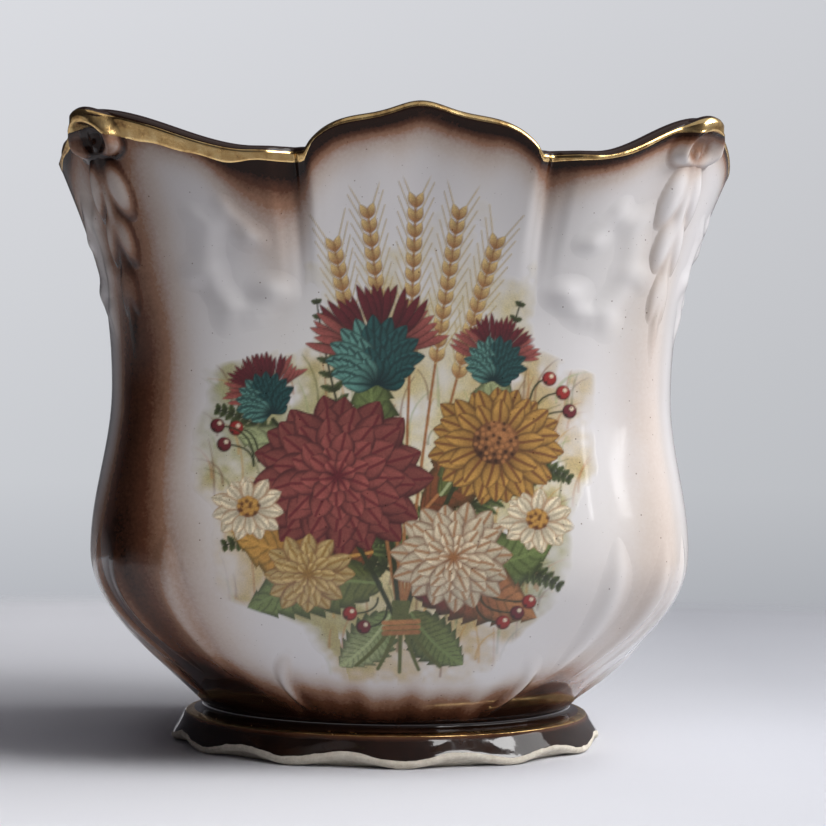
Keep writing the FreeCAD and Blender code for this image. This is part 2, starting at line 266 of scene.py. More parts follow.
def touching(shown):
    """Marks the quads of a grid that have a shown point."""
    return shown[:-1, :-1] | shown[1:, :-1] | shown[:-1, 1:] | shown[1:, 1:]


def used_only(points, faces, values):
    """Drops the points that no face uses."""
    used = np.unique(np.array(faces).ravel())
    where = np.full(len(points), -1)
    where[used] = np.arange(len(used))
    return points[used], where[np.array(faces)].tolist(), [value[used] for value in values]


def register(piece, slot, *nodes):
    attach(piece, "root")
    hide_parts(*nodes)


# Materials

class Tree:
    """Shader nodes of a material or of the world, with short ways to add and to join them."""

    def __init__(self, owner):
        owner.use_nodes = True
        self.nodes, self.links = owner.node_tree.nodes, owner.node_tree.links

    def fill(self, node, inputs):
        """Gives inputs of a node a number or a colour, or joins them to the output of another node."""
        for key, value in inputs.items():
            if isinstance(value, (int, float)):
                node.inputs[key].default_value = value
            elif isinstance(value, tuple):
                node.inputs[key].default_value = (*value, 1)
            else:
                self.links.new(value, node.inputs[key])

    def add(self, kind, output, inputs, **settings):
        """New node with its settings and inputs. Gives back one of its outputs."""
        node = self.nodes.new("ShaderNode" + kind)
        for key, value in settings.items():
            setattr(node, key, value)
        self.fill(node, inputs)
        return node.outputs[output]

    def position(self):
        return self.add("TexCoord", "Object", {})

    def attribute(self, name, output):
        return self.add("Attribute", output, {}, attribute_name=name)

    def ramp(self, source, stops, eased=False):
        colour = self.add("ValToRGB", "Color", {"Fac": source})
        colour.node.color_ramp.interpolation = "EASE" if eased else "LINEAR"
        elements = colour.node.color_ramp.elements
        while len(elements) < len(stops):
            elements.new(0.5)
        for element, (position, tone) in zip(elements, stops):
            element.position = position
            element.color = (*tone, 1)
        return colour

    def noise(self, scale, detail=3.0, roughness=0.5):
        inputs = {"Vector": self.position(), "Scale": scale, "Detail": detail, "Roughness": roughness}
        return self.add("TexNoise", "Fac", inputs)

    def math(self, operation, first, second):
        return self.add("Math", "Value", {0: first, 1: second}, operation=operation)

    def mix(self, factor, first, second, blend="MIX"):
        return self.add("Mix", 2, {0: factor, 6: first, 7: second}, data_type="RGBA", blend_type=blend)

    def bump(self, height, strength, distance):
        return self.add("Bump", "Normal", {"Height": height, "Strength": strength, "Distance": distance})

    def finish(self, output, factor, first, second):
        """Ends the tree with a mix of two shaders."""
        surface = self.add("MixShader", 0, {0: factor, 1: first, 2: second})
        self.fill(self.nodes[output], {"Surface": surface})


def new_material(name):
    material = bpy.data.materials.new(name)
    tree = Tree(material)
    return material, tree, tree.nodes["Principled BSDF"]


def grey(value):
    return (value,) * 3


IVORY = (0.73, 0.71, 0.705)
BROWN_STOPS = ((0.0, IVORY), (0.10, (0.60, 0.525, 0.475)), (0.32, (0.31, 0.170, 0.108)),
               (0.6, (0.105, 0.041, 0.022)), (1.0, (0.018, 0.007, 0.004)))
TINT_STOPS = ((0.3, (0.97, 0.965, 0.985)), (0.7, (1.0, 1.0, 0.985)))
SPECK_SIZES, SPECK_CORE, SPECK_BROWN = ((290, 0.075), (520, 0.06)), 0.4, (0.34, 0.28, 0.25)
GOLD_STOPS = ((0.30, (0.32, 0.18, 0.075)), (0.46, (0.80, 0.53, 0.22)), (0.75, (0.95, 0.73, 0.37)))
TREACLE_STOPS = ((0.15, (0.012, 0.006, 0.004)), (0.45, (0.045, 0.018, 0.010)), (0.8, (0.15, 0.06, 0.03)))
CLAY_STOPS = ((0.3, (0.52, 0.46, 0.37)), (0.7, (0.74, 0.69, 0.59)))
DOT_STOPS, BARE_STOPS = ((0.35, grey(0.86)), (0.62, grey(1.06))), ((0.46, grey(0)), (0.54, grey(1)))
GLAZE_ROUGHNESS, FOOT_ROUGHNESS = ((0.3, grey(0.06)), (0.7, grey(0.11))), ((0, grey(0.07)), (1, grey(0.85)))
GOLD_ROUGHNESS = ((0.3, grey(0.10)), (0.75, grey(0.30)))
CLOUD_SHARE, GRAIN_SHARE, GLAZE_IOR, GLAZE_SPECULAR = 0.5, 0.45, 1.52, 0.42


def glaze(name, printed=False):
    """Ivory gloss glaze with the brown attribute (brown from spraying and painted shade), iron specks and a
    slightly uneven skin, and the print if any.
    """
    material, tree, shader = new_material(name)
    # The brown attribute holds the brown from spraying together with painted shade in hollows, creases and on
    # the side away from the light.
    brown_amount = tree.attribute("brown", "Fac")
    cloud = tree.math("MULTIPLY", tree.math("SUBTRACT", tree.noise(70, 4, 0.6), 0.5), CLOUD_SHARE)
    grain = tree.math("MULTIPLY", tree.math("SUBTRACT", tree.noise(1100, 2, 0.6), 0.5), GRAIN_SHARE)
    amount = tree.math("ADD", brown_amount, tree.math("MULTIPLY", brown_amount, tree.math("ADD", cloud, grain)))
    tint = tree.ramp(tree.noise(18), TINT_STOPS)
    colour = tree.mix(1.0, tree.ramp(amount, BROWN_STOPS), tint, "MULTIPLY")
    if printed:
        dots = tree.ramp(tree.noise(2600, 1), DOT_STOPS)
        ink = tree.mix(1.0, tree.attribute("ink", "Color"), dots, "MULTIPLY")
        colour = tree.mix(tree.attribute("cover", "Fac"), colour, ink)
    for scale, size in SPECK_SIZES:
        cells = tree.add("TexVoronoi", "Distance", {"Vector": tree.position(), "Scale": scale})
        speck = tree.ramp(cells, ((SPECK_CORE * size, SPECK_BROWN), (size, grey(1))))
        colour = tree.mix(1.0, colour, speck, "MULTIPLY")
    tree.fill(shader, {"Base Color": colour, "Roughness": tree.ramp(tree.noise(45, 2), GLAZE_ROUGHNESS),
                       "Normal": tree.bump(tree.noise(60, 2, 0.4), 0.12, 0.0006),
                       "IOR": GLAZE_IOR, "Specular IOR Level": GLAZE_SPECULAR})
    return material


def gold(name):
    """Bright fired gold with brush streaks and worn spots."""
    material, tree, shader = new_material(name)
    tree.fill(shader, {"Base Color": tree.ramp(tree.noise(240, 4, 0.65), GOLD_STOPS),
                       "Roughness": tree.ramp(tree.noise(420), GOLD_ROUGHNESS), "Metallic": 1.0,
                       "Normal": tree.bump(tree.noise(300), 0.25, 0.0004)})
    return material


def foot_glaze(name):
    """Dark treacle glaze, thin and reddish on edges, ending above a bare cream clay edge."""
    material, tree, shader = new_material(name)
    mottled = tree.math("ADD", tree.math("MULTIPLY", tree.attribute("thin", "Fac"), 0.8),
                        tree.math("MULTIPLY", tree.noise(90, 4, 0.6), 0.45))
    ragged = tree.math("MULTIPLY", tree.math("SUBTRACT", tree.noise(380), 0.5), 0.7)
    mask = tree.ramp(tree.math("ADD", tree.attribute("bare", "Fac"), ragged), BARE_STOPS)
    clay = tree.ramp(tree.noise(500, 5, 0.7), CLAY_STOPS)
    tree.fill(shader, {"Base Color": tree.mix(mask, tree.ramp(mottled, TREACLE_STOPS), clay),
                       "Roughness": tree.ramp(mask, FOOT_ROUGHNESS), "IOR": GLAZE_IOR,
                       "Normal": tree.bump(tree.noise(180), 0.2, 0.0004)})
    return material


glaze_body = glaze("ivory_glaze")
glaze_print = glaze("printed_glaze", printed=True)
gold_lustre = gold("gold_lustre")
treacle = foot_glaze("treacle_glaze")

# Body

BODY_COLUMNS, FINE_STEP, FLUTE_CROWD, FLUTE_SPREAD, RIDGE_CROWD = 500, 0.05, 2.2, 1.6, 0.7
BOWL_LEVEL, BOWL_ROWS, SIDE_ROWS, FLARE_ROWS, LIP_ROWS, INNER_ROWS, COVE_ROWS = 30.0, 14, 50, 52, 15, 44, 3
LIP_DROP, LIP_BLEND = 1.0, 5.0
UNDER_SHARES, FLOOR_SHARES = (0.08, 0.35, 0.65, 0.9), (0.75, 0.5, 0.25, 0.08)


def crowded_angles(columns):
    """Angles round the pot that lie closer together in the flutes and on the corners."""
    fine = np.arange(0, 360, FINE_STEP)
    beside = past_lobe(fine) - FLUTE_ANGLE
    weight = 1 + FLUTE_CROWD * bell(beside / (FLUTE_SPREAD * FLUTE_ANGLE)) + RIDGE_CROWD * ridge(fine)
    share = np.concatenate([[0], np.cumsum(weight) / weight.sum()])
    return np.interp(np.arange(columns) / columns, share, np.concatenate([fine, [360]]))


def spline_rows(rows, count):
    """Points on the smooth curve that rings of control points describe, ring by ring."""
    rows = [rows[0]] * 2 + rows + [rows[-1]] * 2
    result = []
    for index in range(len(rows) - 3):
        for step in range(count):
            t = step / count
            weights = ((1 - t) ** 3 / 6, (3 * t ** 3 - 6 * t ** 2 + 4) / 6,
                       (-3 * t ** 3 + 3 * t ** 2 + 3 * t + 1) / 6, t ** 3 / 6)
            result.append(sum(weight * row for weight, row in zip(weights, rows[index:index + 4])))
    result.append(rows[-1])
    return result


def inner_rings(angles):
    """Rings down the inside of the wall, round the cove and over the floor, and their shades."""
    floor = NECK_HEIGHT + FLOOR_THICKNESS
    bottom = floor + FLOOR_COVE
    rings, shades = [], []
    for level in np.linspace(POT_HEIGHT - LIP_DROP, bottom, INNER_ROWS):
        level = np.full(len(angles), level)
        below = POT_HEIGHT - level
        gap = WALL + (LIP_THICKNESS - WALL) * smooth((LIP_BLEND - below) / LIP_BLEND)
        rings.append(place(angles, outside(angles, level) - gap, lifted(angles, level)))
        shades.append(INSIDE_DARK * bell(below / INSIDE_REACH) + INSIDE_PALE * np.exp(-below / INSIDE_FADE))
    edge = half_width(np.array(bottom)) - WALL
    last = edge - FLOOR_COVE - WALL
    turned = [rings.pop()] + [place(angles, radius, level) for radius, level in (
        (edge - FLOOR_COVE / 3, floor + FLOOR_COVE / 3), (edge - FLOOR_COVE, floor), (last, floor))]
    rings += spline_rows(turned, COVE_ROWS)
    rings += [place(angles, last * share, floor) for share in FLOOR_SHARES]
    shades += [np.zeros(len(angles))] * (len(rings) - len(shades))
    return rings, shades, floor


def make_body():
    columns = BODY_COLUMNS
    angles = crowded_angles(columns)
    flare = POT_HEIGHT - FLUTE_HEIGHT
    runs = np.concatenate([np.linspace(NECK_HEIGHT, BOWL_LEVEL, BOWL_ROWS)[:-1],
                           np.linspace(BOWL_LEVEL, flare, SIDE_ROWS)[:-1],
                           np.linspace(flare, POT_HEIGHT, FLARE_ROWS),
                           POT_HEIGHT + np.linspace(0, LIP_RUN, LIP_ROWS)[1:]])
    outer = [shell(angles, np.full(columns, run)) for run in runs]
    shade = [brown(angles, np.full(columns, run)) for run in runs]
    inner, inner_shade, floor = inner_rings(angles)
    under = [place(angles, NECK_HALF * share, NECK_HEIGHT) for share in UNDER_SHARES]
    rows = under + outer + inner
    shades = np.concatenate([np.full(columns, UNDER_SHADE)] * len(under) + shade + inner_shade)
    faces = grid_faces(columns, len(rows), True)
    total = columns * len(rows)
    points = np.concatenate(rows + [[[0, 0, NECK_HEIGHT], [0, 0, floor]]])
    shades = np.concatenate([shades, [UNDER_SHADE, 0.0]])
    first_of_last = total - columns
    for column in range(columns):
        after = (column + 1) % columns
        faces.append((total, after, column))
        faces.append((total + 1, first_of_last + column, first_of_last + after))
    return make_mesh("glazed_body", points, faces, {"brown": shades}, material=glaze_body)


register(make_body(), "glaze", "pot_body")

# Foot

FOOT_COLUMNS, FOOT_STEPS = 360, 5
BARE_HEIGHT, BARE_ARCH_SHARE, BARE_WAVE, BARE_FADE, THIN_REACH, THIN_SHARE = 2.3, 0.9, 0.35, 1.2, 1.6, 0.7


def arch(angle):
    return (1 - np.cos(np.radians(ARCH_COUNT * (angle - LOBE_SKEW)))) / 2


def foot_rows(angles):
    """Rings of control points down the foot, from the neck to the seat."""
    cove = NECK_HEIGHT - FOOT_EDGE_HEIGHT
    slope = FOOT_HALF - FOOT_EDGE_HALF
    rise = arch(angles)

    def plain(radius, height):
        return place(angles, radius, height)

    def arched(inset, height):
        return place(angles, FOOT_HALF - inset - ARCH_DEPTH * rise, height + ARCH_LIFT * rise)

    return [plain(NECK_HALF, NECK_HEIGHT), plain(NECK_HALF, NECK_HEIGHT - cove / 2),
            plain(FOOT_EDGE_HALF - slope / 2, FOOT_EDGE_HEIGHT + cove / 4),
            plain(FOOT_EDGE_HALF, FOOT_EDGE_HEIGHT),
            plain(FOOT_EDGE_HALF + slope / 6, FOOT_EDGE_HEIGHT - cove / 2),
            arched(slope / 2, (FOOT_EDGE_HEIGHT + SKIRT_HEIGHT) / 2 - ARCH_LIFT / 2),
            arched(slope / 6, SKIRT_HEIGHT), arched(0, SKIRT_HEIGHT / 2),
            arched(slope / 6, SKIRT_HEIGHT / 12), arched(slope / 2, 0),
            plain(SEAT_OUTER + slope / 6, 0), plain(SEAT_OUTER, 0)]


def make_foot():
    columns = FOOT_COLUMNS
    angles = np.arange(columns) * 360 / columns
    outer = spline_rows(foot_rows(angles), FOOT_STEPS)
    inner = [place(angles, radius, height) for radius, height in (
        (SEAT_INNER, 0), (SEAT_INNER - SEAT_EDGE, SEAT_ROUND), (RECESS, NECK_HEIGHT))]
    rows = outer + inner
    height = np.concatenate([row[:, 2] for row in rows])
    uneven = np.tile(BARE_ARCH_SHARE * ARCH_LIFT * arch(angles) + BARE_WAVE * wobble(angles, 2.1), len(rows))
    bare = smooth((BARE_HEIGHT + uneven - height) / BARE_FADE + 0.5)
    bare = np.where(np.arange(len(height)) >= len(outer) * columns, 1.0, bare)
    thin = smooth(1 - np.abs(height - FOOT_EDGE_HEIGHT) / THIN_REACH) * THIN_SHARE
    faces = [face[::-1] for face in grid_faces(columns, len(rows), True)]
    last = (len(rows) - 1) * columns
    for column in range(columns):
        after = (column + 1) % columns
        faces.append((column, after, last + after, last + column))
    return make_mesh("foot", np.concatenate(rows), faces, {"bare": bare, "thin": thin}, material=treacle)


register(make_foot(), "foot_glaze", "foot_ring")

# Relief: bumps on the wall in millimetres; x runs across from a piece's middle
# A patch is its half angle, its lowest and highest run, and its columns and rows

RELIEF_SINK, RELIEF_SHOWN, BUMP_EDGE = 0.06, 0.01, 0.03
RAISED_PALER_SHARE, RAISED_HEIGHT, LIP_KEEP, LIP_FADE = 0.75, 1.5, 2.0, 3.0
CREASE_TOP, CREASE_EDGE = 1.2, 0.35


def soft_union(heights, power=3):
    return sum(np.maximum(height, 0) ** power for height in heights) ** (1 / power)


def roll(share):
    """Soft bump of height 1, a little under the wall far away."""
    return bell(share) - BUMP_EDGE


def oval(x, y, centre, size, turn):
    """Distances from a centre along two turned axes, as shares of two half sizes."""
    c, s = math.cos(math.radians(turn)), math.sin(math.radians(turn))
    dx, dy = x - centre[0], y - centre[1]
    return (dx * c + dy * s) / size[0], (dy * c - dx * s) / size[1]


def dome(x, y, centre, size, turn, power):
    """Rounded oval bump of height 1."""
    across, along = oval(x, y, centre, size, turn)
    return np.clip(1 - across ** 2 - along ** 2, 0, 1) ** power


def hump(x, y, centre, size, turn=0.0):
    """Soft oval bump of height 1 that dies away all round."""
    return roll(np.hypot(*oval(x, y, centre, size, turn)))


def near(x, y, path):
    """Distance to a line of points, and the share of the way along it."""
    best = np.full(x.shape, np.inf)
    along = np.zeros(x.shape)
    for index in range(len(path) - 1):
        (ax, ay), (bx, by) = path[index], path[index + 1]
        length = (bx - ax) ** 2 + (by - ay) ** 2
        t = np.clip(((x - ax) * (bx - ax) + (y - ay) * (by - ay)) / length, 0, 1)
        far = np.hypot(x - ax - t * (bx - ax), y - ay - t * (by - ay))
        along = np.where(far < best, (index + t) / (len(path) - 1), along)
        best = np.minimum(best, far)
    return best, along


def relief_piece(name, node, middle, patch, height_at, crease_shade=0.0):
    """Raised ornament on the wall: a patch that follows the wall and sinks just under it at its outline."""
    half_angle, low, high, columns, rows = patch
    angles = middle + np.linspace(-half_angle, half_angle, columns)
    angle, run = np.meshgrid(angles, np.linspace(low, high, rows))
    across = np.radians(angle - middle) * radius_at(middle, min((low + high) / 2, POT_HEIGHT))
    height = height_at(across, run)
    points = shell(angle, run) + shell_normal(angle, run) * (height - RELIEF_SINK)[..., None]
    lip = np.exp(-np.maximum(POT_HEIGHT - LIP_KEEP - run, 0) / LIP_FADE)
    # Less brown on raised parts, so the tops of the relief are paler, except near the lip.
    paler_on_raised = 1 - RAISED_PALER_SHARE * smooth(height / RAISED_HEIGHT) * (1 - lip)
    # Painted shade: darker in the creases and low parts of the relief and in the hollow under each ear,
    # stronger on the side away from the light.
    crease = smooth(CREASE_TOP - height / RAISED_HEIGHT) * smooth(height / CREASE_EDGE)
    shade = np.clip(brown(angle, run) * paler_on_raised + crease_shade * spray_and_side_shade(angle) * crease, 0, BROWN_SHADE_MOST)
    faces = grid_faces(columns, rows, False, touching(height > RELIEF_SHOWN))
    points, faces, (shade,) = used_only(points.reshape(-1, 3), faces, [shade.ravel()])
    piece = make_mesh(name, points, faces, {"brown": shade}, material=glaze_body)
    register(piece, "relief_glaze", node)


# Leaf lobes: offset, middle below the top, half width, half length, lean, height
LEAF_TOP, LEAF_PATCH, LEAF_CREASE_SHADE = 161.5, (8.5, 104.0, 163.5, 66, 150), 0.30
LEAF_LOBES = ((3.9, 12.0, 3.6, 9.5, 9, 1.9), (2.7, 25.0, 3.0, 9.0, 7, 1.5), (1.7, 39.0, 2.2, 8.0, 5, 1.0))
LEAF_SPINES = ((1.5, 16.0, (2.2, 13.0)), (1.0, 38.0, (1.6, 13.0)))
LEAF_POWER, LEAF_UNION = 1.1, 2.4


def leaf_height(x, run):
    """Three pairs of long lobes that hang one under another, with a spine between them."""
    down = LEAF_TOP - run
    parts = [height * hump(x, down, (0, middle), halves) for height, middle, halves in LEAF_SPINES]
    for offset, middle, half, length, lean, height in LEAF_LOBES:
        for hand in (-1, 1):
            bump = dome(x, down, (hand * offset, middle), (half, length), -hand * lean, LEAF_POWER)
            parts.append(height * bump)
    return soft_union(parts, LEAF_UNION)


EAR_RUN, EAR_PATCH, EAR_HOLLOW_SHADE = 162.5, (7.0, 148.0, POT_HEIGHT + 5.5, 68, 100), 0.55
HOOD_HEIGHT, HOOD_RADIUS, HOOD_ROLL, HOOD_STRETCH, HOOD_OPEN = 3.7, 5.6, 1.9, 1.1, 7.0
PEARL_CENTRE, PEARL_SIZE = (0.0, -2.2), (1.3, 1.8)
EAR_RADIUS = radius_at(CORNER, (EAR_PATCH[1] + EAR_PATCH[2]) / 2)


def ear_height(x, run):
    """Hood that curls over a hollow and opens downwards on to the leaf."""
    y = run - EAR_RUN
    far = np.hypot(x / HOOD_STRETCH, y)
    hood = HOOD_HEIGHT * roll((far - HOOD_RADIUS) / HOOD_ROLL)
    return soft_union([hood * smooth(y / HOOD_OPEN + 1), hump(x, y, PEARL_CENTRE, PEARL_SIZE)])


SCROLL_ANGLE, SCROLL_LEVEL, SCROLL_WIDTH, SCROLL_LENGTH, SCROLL_TURN = 30.5, 135.0, 9.5, 20.0, 290.0
SCROLL_PATCH, SCROLL_POINTS = (10.5, 108.0, 160.0, 72, 130), 24
SCROLL_ROLL, SCROLL_ROLL_LOSS, SCROLL_HALF, SCROLL_HALF_LOSS = 0.8, 0.3, 3.8, 1.2
SCROLL_EYES = ((0, 1.0, (4.8, 4.6)), (-1, 0.75, (3.6, 3.6)))
SCROLL_BUMPS = ((6, 1.0), (10, 1.1), (14, 0.9), (18, 0.7))
BUMP_OUT, BUMP_SHARE, BUMP_SIZES = 2.4, 0.8, (4.6, 3.4)


def scroll_height(hand):
    """Worn rocaille scroll: a broad C with a round eye at each end and soft bumps on its back."""
    path = []
    for share in np.linspace(0, 1, SCROLL_POINTS):
        turn = math.radians(SCROLL_TURN * (share - 0.5))
        reach = 1 - share / 2
        path.append((hand * SCROLL_WIDTH * reach * math.cos(turn),
                     SCROLL_LEVEL + SCROLL_LENGTH * reach * math.sin(turn)))

    def height(x, run):
        far, along = near(x, run, path)
        half = SCROLL_HALF - SCROLL_HALF_LOSS * along
        parts = [(SCROLL_ROLL - SCROLL_ROLL_LOSS * along) * roll(far / half)]
        parts += [size * hump(x, run, path[index], halves) for index, size, halves in SCROLL_EYES]
        for index, size in SCROLL_BUMPS:
            px, py = path[index]
            out = math.atan2(py - SCROLL_LEVEL, px)
            centre = (px + BUMP_OUT * math.cos(out), py + BUMP_OUT * math.sin(out))
            halves = [half * size for half in BUMP_SIZES]
            parts.append(BUMP_SHARE * size * hump(x, run, centre, halves, math.degrees(out)))
        return soft_union(parts, 2.0)

    return height


RIB_STEP, RIB_LOW, RIB_HIGH, RIB_HALF, RIB_LEAST, RIB_HEIGHT = 8.0, 22.0, 62.0, 2.772, 0.2, 0.95
RIB_PATCH = (13.0, RIB_LOW - 1, RIB_HIGH + 1, 110, 70)


def rib_height(x, run):
    """Three upright ribs that swell in the middle and die away at both ends."""
    radius = radius_at(CORNER, (RIB_LOW + RIB_HIGH) / 2)
    swell = np.sin(np.pi * np.clip((run - RIB_LOW) / (RIB_HIGH - RIB_LOW), 0, 1))
    half = RIB_HALF * np.sqrt(swell) + RIB_LEAST
    parts = []
    for step in (-1, 0, 1):
        offset = x - math.radians(step * RIB_STEP) * radius
        parts.append(RIB_HEIGHT * swell * roll(offset / half))
    return soft_union(parts)


BEAD_ANGLE, BEAD_SWELL, BEAD_LOW, BEAD_HIGH, BEAD_HALF, BEAD_HEIGHT = 24.0, 4.0, 12.5, 31.0, 1.5, 1.2
BEAD_POINTS, BEAD_ENDS, BEAD_CREASE_SHADE = 10, 0.03, 0.05
BEAD_PATCH = (32.0, BEAD_LOW - 1.5, BEAD_HIGH + 1.5, 150, 46)


def bead_height(x, run):
    """Pair of curved beads, one on each side of the middle."""
    radius = radius_at(LOBE_SKEW, (BEAD_LOW + BEAD_HIGH) / 2)
    parts = []
    for hand in (-1, 1):
        path = [(math.radians(hand * (BEAD_ANGLE + BEAD_SWELL * math.sin(math.pi * share))) * radius,
                 BEAD_LOW + (BEAD_HIGH - BEAD_LOW) * share) for share in np.linspace(0, 1, BEAD_POINTS)]
        far, along = near(x, run, path)
        swell = np.sin(np.pi * np.clip(along, BEAD_ENDS, 1 - BEAD_ENDS))
        parts.append(BEAD_HEIGHT * swell * roll(far / BEAD_HALF))
    return soft_union(parts)


def make_relief():
    for index, corner in enumerate(CORNERS):
        middle = CORNER + 90 * index
        relief_piece(f"leaf_{corner}", f"corner_leaf_{corner}", middle, LEAF_PATCH, leaf_height, LEAF_CREASE_SHADE)
        relief_piece(f"ear_{corner}", f"corner_ear_{corner}", middle, EAR_PATCH, ear_height, EAR_HOLLOW_SHADE)
        relief_piece(f"ribs_{corner}", f"bowl_ribs_{corner}", middle, RIB_PATCH, rib_height)
    for index, side in enumerate(SIDES):
        middle = 90 * index + LOBE_SKEW
        for hand, word in ((-1, "left"), (1, "right")):
            name = f"scroll_{word}_{side}"
            relief_piece(name, name, middle + hand * SCROLL_ANGLE, SCROLL_PATCH, scroll_height(hand))
        relief_piece(f"beads_{side}", f"bowl_beads_{side}", middle, BEAD_PATCH, bead_height, BEAD_CREASE_SHADE)


make_relief()

# Gilding: a film that stands a little off the glaze and sinks into it at its edges

GOLD_RISE, GOLD_DIP, GOLD_POWER = 0.10, 0.16, 8
RIM_COLUMNS, RIM_ROWS, GOLD_WAVE, GOLD_EDGE_WAVE, GOLD_TOP_WAVE = 900, 15, 0.7, 0.2, 0.22
ARM_GOLD, ARM_GOLD_SPRAY, LOBE_GOLD_LIFT, ARM_OVER_SHARE, LOBE_OVER_SHARE = 0.9, 1.7, 0.4, 0.12, 0.36
LINE_COLUMNS, LINE_STEPS, LINE_ROWS = 480, 6, slice(17, 26)


def gold_film(share):
    return GOLD_RISE - GOLD_DIP * abs(2 * share - 1) ** GOLD_POWER


def make_gold_rim():
    angles = np.arange(RIM_COLUMNS) * 360 / RIM_COLUMNS
    lobe = on_lobe(angles)
    arm = (ARM_GOLD + ARM_GOLD_SPRAY * spray_and_side_shade(angles)) * (1 - lobe) * (1 + GOLD_WAVE * wobble(angles, 0.7))
    low = POT_HEIGHT + LOBE_GOLD_LIFT * lobe - arm + GOLD_EDGE_WAVE * wobble(angles, 2.3)
    over = ARM_OVER_SHARE + LOBE_OVER_SHARE * lobe
    high = POT_HEIGHT + LIP_RUN * over + GOLD_TOP_WAVE * wobble(angles, 1.9)
    corner = np.round((angles - CORNER) / (2 * CORNER)) * 2 * CORNER + CORNER
    across = np.radians(angles - corner) * EAR_RADIUS
    rows = []
    for share in np.linspace(0, 1, RIM_ROWS):
        run = low + (high - low) * share
        film = gold_film(share) + np.maximum(ear_height(across, run) - RELIEF_SINK, 0)
        rows.append(shell(angles, run) + film[:, None] * shell_normal(angles, run))
    faces = grid_faces(RIM_COLUMNS, len(rows), True)
    return make_mesh("gold_rim", np.concatenate(rows), faces, material=gold_lustre)


def make_gold_foot():
    angles = np.arange(LINE_COLUMNS) * 360 / LINE_COLUMNS
    rows = spline_rows(foot_rows(angles), LINE_STEPS)[LINE_ROWS]
    out = place(angles, 1, 1) / math.sqrt(2)
    rows = [row + gold_film(index / (len(rows) - 1)) * out for index, row in enumerate(rows)]
    faces = [face[::-1] for face in grid_faces(LINE_COLUMNS, len(rows), True)]
    return make_mesh("gold_foot_line", np.concatenate(rows), faces, material=gold_lustre)


register(make_gold_rim(), "gold", "rim_gilding")
register(make_gold_foot(), "gold", "foot_gilding")

# Printed posy: painted point by point on the film, in millimetres across and up the wall

def srgb(*values):
    values = np.array(values) / 255.0
    return np.where(values <= 0.04045, values / 12.92, ((values + 0.055) / 1.055) ** 2.4)


TEAL_DARK, TEAL, TEAL_LIGHT = srgb(16, 44, 46), srgb(34, 86, 84), srgb(98, 150, 138)
WINE_DARK, WINE, ROSE, SCARLET = srgb(50, 14, 20), srgb(104, 30, 38), srgb(160, 84, 76), srgb(150, 40, 36)
CHESTNUT_DARK, CHESTNUT, TAN = srgb(58, 30, 20), srgb(112, 62, 36), srgb(172, 116, 70)
OCHRE, STRAW, CREAM, LINEN = srgb(190, 144, 72), srgb(216, 188, 126), srgb(240, 226, 194), srgb(190, 176, 150)
OLIVE_DARK, OLIVE, LEAF_GREEN = srgb(48, 54, 30), srgb(92, 98, 50), srgb(112, 128, 74)
SAGE, UMBER = srgb(160, 168, 122), srgb(48, 30, 22)
MEADOW, HAY, MOSS = srgb(206, 190, 132), srgb(186, 156, 98), srgb(140, 142, 90)

# Softness of edges, and sizes of the noise in the paint
LINE_SOFT, PETAL_SOFT, WASH_EDGE, WASH_RAGGED = 0.3, 0.35, 1.25, 0.9
CLOUDS, GRAIN_SIZE, KNOTS = ((6.5, 0.5), (3.1, 0.3), (1.4, 0.2)), 0.7, 160
GOLDEN_TURN = 2.39996


def point_at(path, share):
    """Point at a share of the way along a line of points."""
    steps = np.linspace(0, 1, len(path))
    return np.array([np.interp(share, steps, axis) for axis in path.T])


